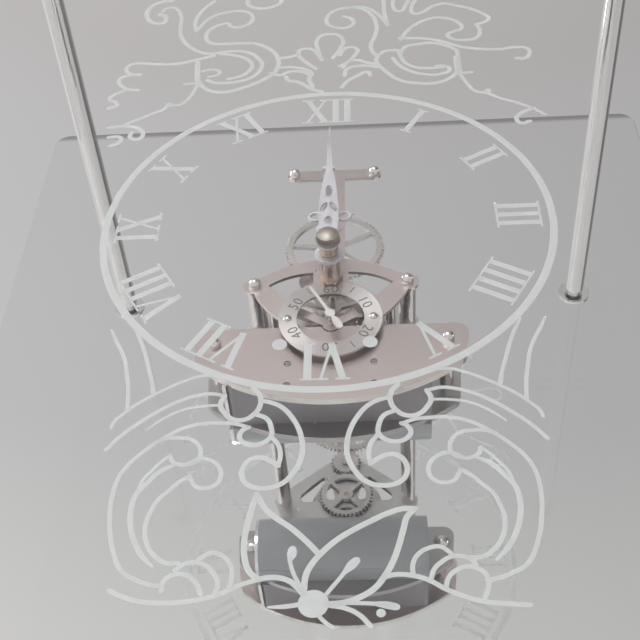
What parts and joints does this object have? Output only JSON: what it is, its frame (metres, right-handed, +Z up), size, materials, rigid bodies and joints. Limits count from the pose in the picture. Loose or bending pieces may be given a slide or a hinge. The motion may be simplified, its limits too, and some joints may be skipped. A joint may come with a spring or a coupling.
{
  "type": "skeleton table clock",
  "caption": "Table clock with an open skeleton quartz movement and hands between a clear printed front glass and a mirror panel, joined by corner standoffs.",
  "frame": {"origin": "on the table, under the middle of the clock", "axes": "+X to the viewer's right, +Y back from the dial to the mirror panel, +Z up"},
  "size_m": [0.242, 0.1006, 0.322],
  "materials": {
    "glass": "clear glass with a printed rear face",
    "mirror": "silvered glass",
    "case_chrome": "polished",
    "foot_rubber": "soft grey",
    "plate": "satin, slightly rosy",
    "dial_ring": "circular brushed with printed numbers",
    "brass": "turned",
    "polished": "polished",
    "small_screw": "polished",
    "wheel": "satin",
    "arbor": "turned",
    "hand": "pale satin",
    "second_hand": "pale satin",
    "nut": "warm nickel, knurled",
    "housing": "dark grey moulding",
    "clip": "bright sheet",
    "cell": "plain sleeve"
  },
  "bodies": {
    "frame": {"front_glass": "glass", "mirror_panel": "mirror", "standoff_upper_left": "case_chrome", "standoff_upper_right": "case_chrome", "standoff_lower_left": "case_chrome", "standoff_lower_right": "case_chrome", "front_cap_screws": "case_chrome", "rear_cap_screws": "case_chrome", "edge_feet": "foot_rubber", "front_plate": "plate", "seconds_ring": "dial_ring", "ring_screws": "small_screw", "hand_bush": "brass", "ball_nuts": "polished", "ear_pillar_front_left": "polished", "ear_pillar_front_right": "polished", "ear_pillar_rear_left": "polished", "ear_pillar_rear_right": "polished", "rear_screws": "polished", "rear_plate": "plate", "train_bridge": "plate", "bridge_pillars": "polished", "plate_screws": "small_screw", "upper_bridge": "plate", "wheel_studs": "arbor", "motion_stud": "arbor", "lower_front_plate": "plate", "lower_rear_plate": "plate", "lower_pillar_left": "polished", "lower_pillar_right": "polished", "quartz_module": "housing", "module_screws": "small_screw", "battery_tub": "housing", "end_clips": "clip", "battery_cell": "cell", "battery_contacts": "clip"},
    "battery_cover": {"battery_cover": "housing"},
    "minute": {"minute_arbor": "arbor", "cannon_pinion": "arbor", "centre_wheel": "wheel", "rear_drive_wheel": "wheel", "minute_hand": "hand", "hand_nut": "nut"},
    "hour": {"hour_tube": "brass", "hour_wheel": "wheel", "hour_hand": "hand"},
    "motion": {"motion_wheel": "wheel", "motion_pinion": "arbor"},
    "third": {"third_arbor": "arbor", "third_wheel": "wheel"},
    "seconds": {"seconds_arbor": "arbor", "seconds_wheel": "wheel", "second_hand": "second_hand"},
    "drive": {"drive_arbor": "arbor"},
    "idler": {"idler_wheel": "wheel"},
    "upper": {"upper_wheel": "wheel"}
  },
  "joints": [
    {"name": "minute_spin", "type": "hinge", "parent": "frame", "child": "minute", "pos_m": [0, -0.0076, 0.162], "axis": [0, 1, 0], "continuous": true},
    {"name": "hour_spin", "type": "hinge", "parent": "frame", "child": "hour", "pos_m": [0, -0.0173, 0.162], "axis": [0, 1, 0], "continuous": true},
    {"name": "motion_spin", "type": "hinge", "parent": "frame", "child": "motion", "pos_m": [-0.0046, -0.0154, 0.16586], "axis": [0, 1, 0], "continuous": true},
    {"name": "third_spin", "type": "hinge", "parent": "frame", "child": "third", "pos_m": [0.00789, -0.0097, 0.15141], "axis": [0, 1, 0], "continuous": true},
    {"name": "seconds_spin", "type": "hinge", "parent": "frame", "child": "seconds", "pos_m": [0, -0.0129, 0.1466], "axis": [0, 1, 0], "continuous": true},
    {"name": "drive_spin", "type": "hinge", "parent": "frame", "child": "drive", "pos_m": [0, -0.0129, 0.1366], "axis": [0, 1, 0], "continuous": true},
    {"name": "idler_spin", "type": "hinge", "parent": "frame", "child": "idler", "pos_m": [0, -0.0008, 0.17595], "axis": [0, 1, 0], "continuous": true},
    {"name": "upper_spin", "type": "hinge", "parent": "frame", "child": "upper", "pos_m": [0, -0.0008, 0.1962], "axis": [0, 1, 0], "continuous": true},
    {"name": "cover_slide", "type": "slide", "parent": "frame", "child": "battery_cover", "axis": [1, 0, 0], "range_m": [0, 0.0555]}
  ],
  "couplings": [
    {"joint": "hour_spin", "follows": "minute_spin", "ratio": 0.083333},
    {"joint": "motion_spin", "follows": "minute_spin", "ratio": -0.33333},
    {"joint": "third_spin", "follows": "minute_spin", "ratio": -10},
    {"joint": "seconds_spin", "follows": "minute_spin", "ratio": 60},
    {"joint": "drive_spin", "follows": "minute_spin", "ratio": -240},
    {"joint": "idler_spin", "follows": "minute_spin", "ratio": -1.8182},
    {"joint": "upper_spin", "follows": "minute_spin", "ratio": 0.58824}
  ]
}
